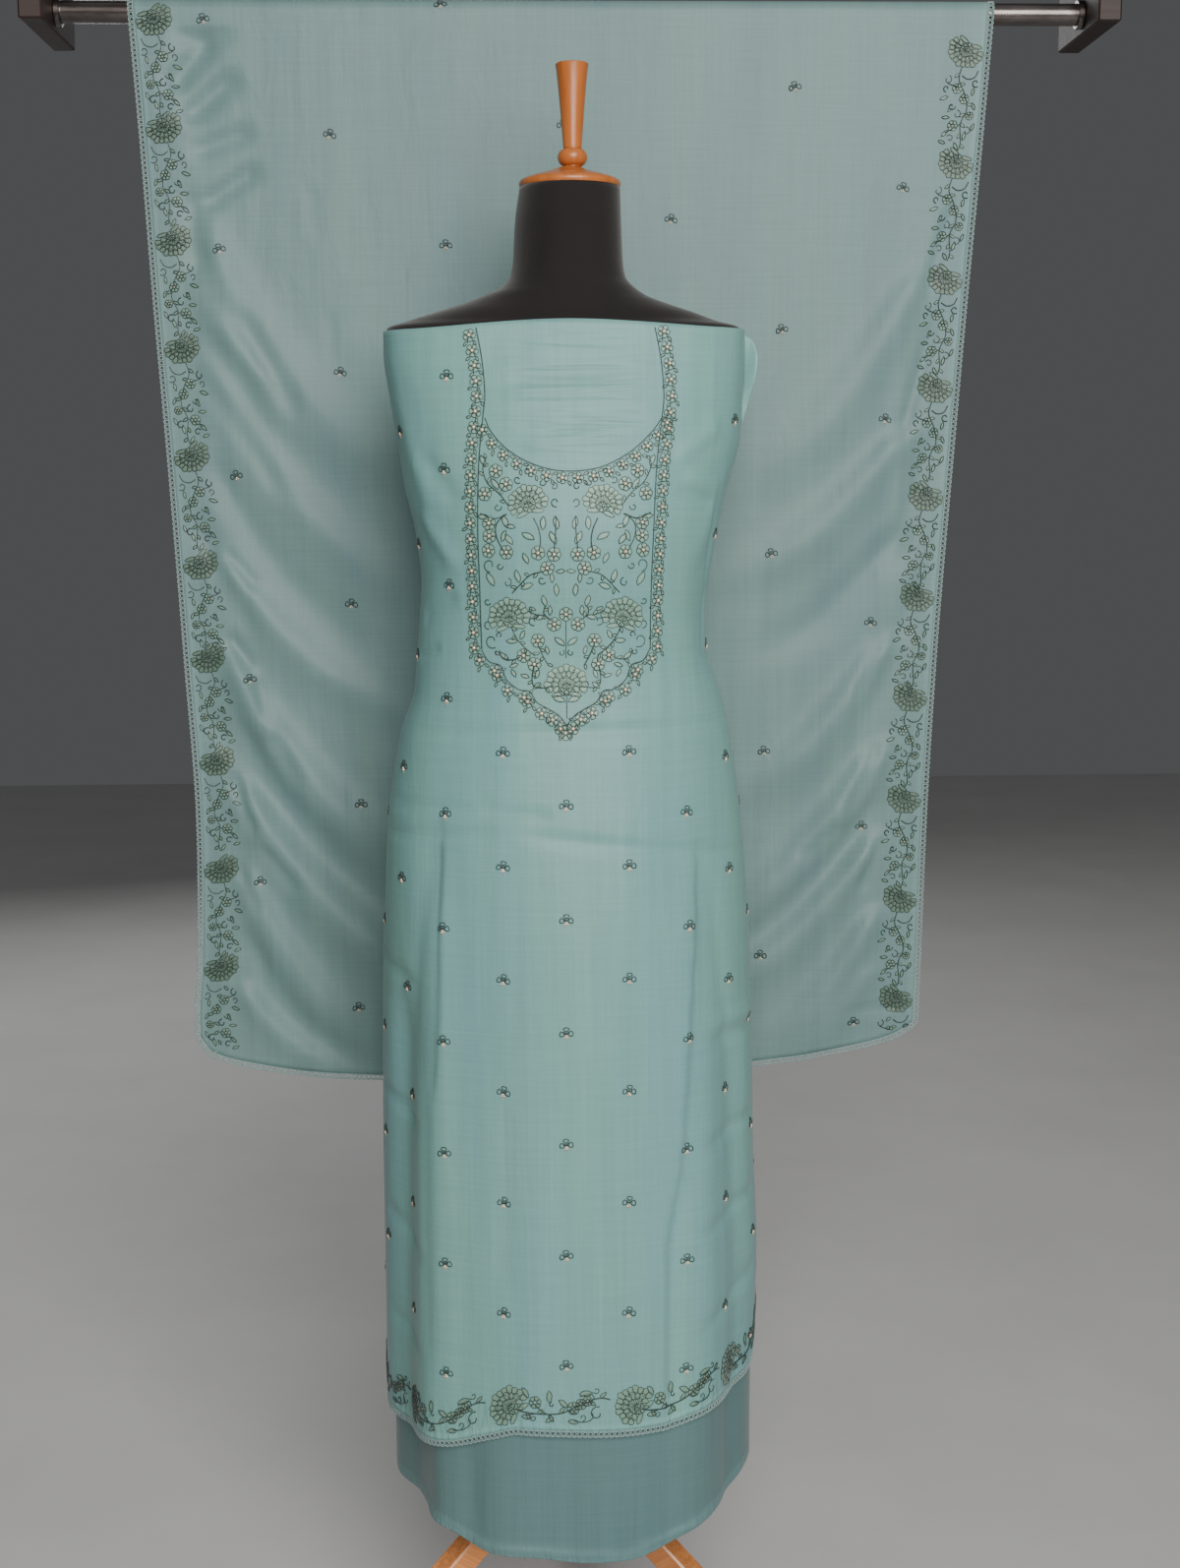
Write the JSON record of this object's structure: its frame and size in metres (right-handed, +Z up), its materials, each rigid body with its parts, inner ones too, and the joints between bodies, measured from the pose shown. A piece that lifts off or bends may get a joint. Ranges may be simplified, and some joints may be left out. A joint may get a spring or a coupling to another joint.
{
  "type": "salwar kameez suit on dress form with dupatta on rod",
  "caption": "Unstitched salwar kameez set: embroidered kameez cloth wrapped on a limbless dress form over the plain salwar cloth, with the dupatta hung over a rod behind",
  "frame": {"origin": "middle of the bounding box, on the floor", "axes": "+Z up, the front of the suit faces -Y, +X to the right seen from the front"},
  "size_m": [1.249, 0.5422, 1.962],
  "materials": {
    "kameez_teal": "satin",
    "lace_teal": "matte",
    "salwar_teal": "satin",
    "dupatta_teal": "satin",
    "black_jersey": "matte",
    "honey_wood": "satin",
    "brown_wood": "satin",
    "steel": "satin"
  },
  "bodies": {
    "root": {"kameez_cloth": "kameez_teal", "kameez_hem_lace": "lace_teal", "salwar_cloth": "salwar_teal", "dupatta_front": "dupatta_teal", "dupatta_back": "dupatta_teal", "dupatta_front_lace": "lace_teal", "dupatta_back_lace": "lace_teal", "form_torso": "black_jersey", "neck_disc": "honey_wood", "neck_finial": "honey_wood", "form_pole": "honey_wood", "stand_hub": "honey_wood", "leg_left": "honey_wood", "leg_right": "honey_wood", "leg_back": "honey_wood", "rail_rod": "steel", "rail_socket_left": "steel", "rail_socket_right": "steel", "rail_block_left": "brown_wood", "rail_block_right": "brown_wood"}
  },
  "joints": []
}
